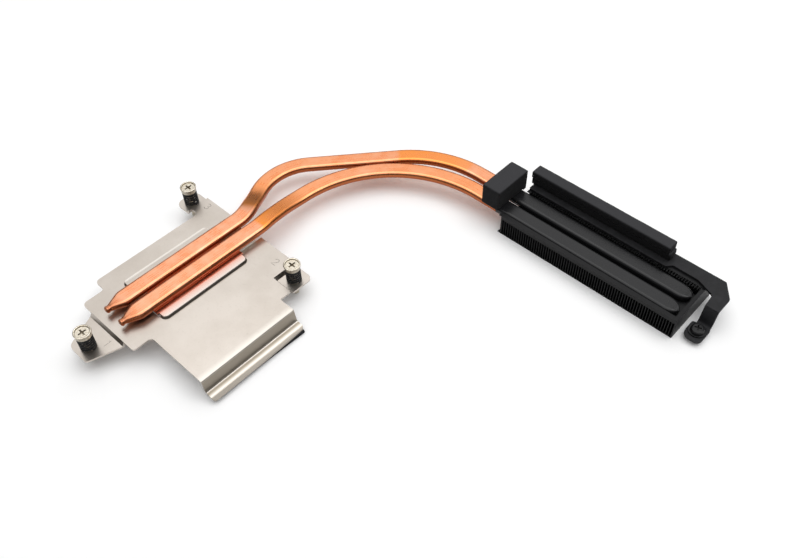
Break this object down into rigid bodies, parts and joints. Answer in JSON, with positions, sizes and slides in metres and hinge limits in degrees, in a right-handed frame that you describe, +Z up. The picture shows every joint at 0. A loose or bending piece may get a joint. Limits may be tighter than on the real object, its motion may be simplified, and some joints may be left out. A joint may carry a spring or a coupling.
{
  "type": "laptop heatsink",
  "caption": "Laptop processor heatsink: a clamping plate with captive spring screws, flattened copper heat pipes and a black fin stack with a side bracket and foam air seals.",
  "frame": {"origin": "centre of the cold plate's contact face", "axes": "+X along the fin stack, from the pipes' entry to the bracket; +Y along the pipes where they lie on the plate, towards the fins; +Z up, away from the processor"},
  "size_m": [0.1968, 0.1831, 0.0188],
  "materials": {
    "plated_sheet": "satin nickel-plated sheet",
    "copper": "bare drawn copper",
    "plated_screw": "nickel-plated, turned",
    "black_spring": "blackened spring wire",
    "ring_steel": "plain spring steel",
    "black_fins": "satin black paint",
    "black_sheet": "satin black paint",
    "black_hardware": "black oxide",
    "black_foam": "fine open-cell foam, matte"
  },
  "bodies": {
    "heatsink": {"retention_plate": "plated_sheet", "cold_plate": "copper", "heat_pipe_front": "copper", "heat_pipe_rear": "copper", "screw_spring_1": "black_spring", "screw_spring_2": "black_spring", "screw_spring_3": "black_spring", "fin_stack": "black_fins", "fin_end_plate_left": "black_fins", "fin_end_plate_right": "black_fins", "side_bracket": "black_sheet", "bracket_washer": "black_hardware", "bracket_ring": "black_hardware", "entry_foam_block": "black_foam", "seal_foam_lower": "black_foam", "seal_foam_upper": "black_foam", "flange_pad": "black_foam"},
    "ring_1": {"retaining_ring_1": "ring_steel"},
    "screw_1": {"captive_screw_1": "plated_screw"},
    "ring_2": {"retaining_ring_2": "ring_steel"},
    "screw_2": {"captive_screw_2": "plated_screw"},
    "ring_3": {"retaining_ring_3": "ring_steel"},
    "screw_3": {"captive_screw_3": "plated_screw"},
    "foot_screw": {"bracket_screw": "black_hardware"}
  },
  "joints": [
    {"name": "screw_1_press", "type": "slide", "parent": "heatsink", "child": "ring_1", "axis": [0, 0, 1], "range_m": [-0.0024, 0], "stiffness_N_per_m": 2000, "deforming": ["screw_spring_1"]},
    {"name": "screw_1_turn", "type": "hinge", "parent": "ring_1", "child": "screw_1", "pos_m": [0.001, -0.0454, 0.008], "axis": [0, 0, 1], "continuous": true},
    {"name": "screw_2_press", "type": "slide", "parent": "heatsink", "child": "ring_2", "axis": [0, 0, 1], "range_m": [-0.0024, 0], "stiffness_N_per_m": 2000, "deforming": ["screw_spring_2"]},
    {"name": "screw_2_turn", "type": "hinge", "parent": "ring_2", "child": "screw_2", "pos_m": [0.0324, 0.0263, 0.008], "axis": [0, 0, 1], "continuous": true},
    {"name": "screw_3_press", "type": "slide", "parent": "heatsink", "child": "ring_3", "axis": [0, 0, 1], "range_m": [-0.0024, 0], "stiffness_N_per_m": 2000, "deforming": ["screw_spring_3"]},
    {"name": "screw_3_turn", "type": "hinge", "parent": "ring_3", "child": "screw_3", "pos_m": [-0.0308, 0.0265, 0.008], "axis": [0, 0, 1], "continuous": true},
    {"name": "foot_screw_turn", "type": "hinge", "parent": "heatsink", "child": "foot_screw", "pos_m": [0.15812, 0.1119, -0.004], "axis": [0, 0, 1], "continuous": true}
  ]
}
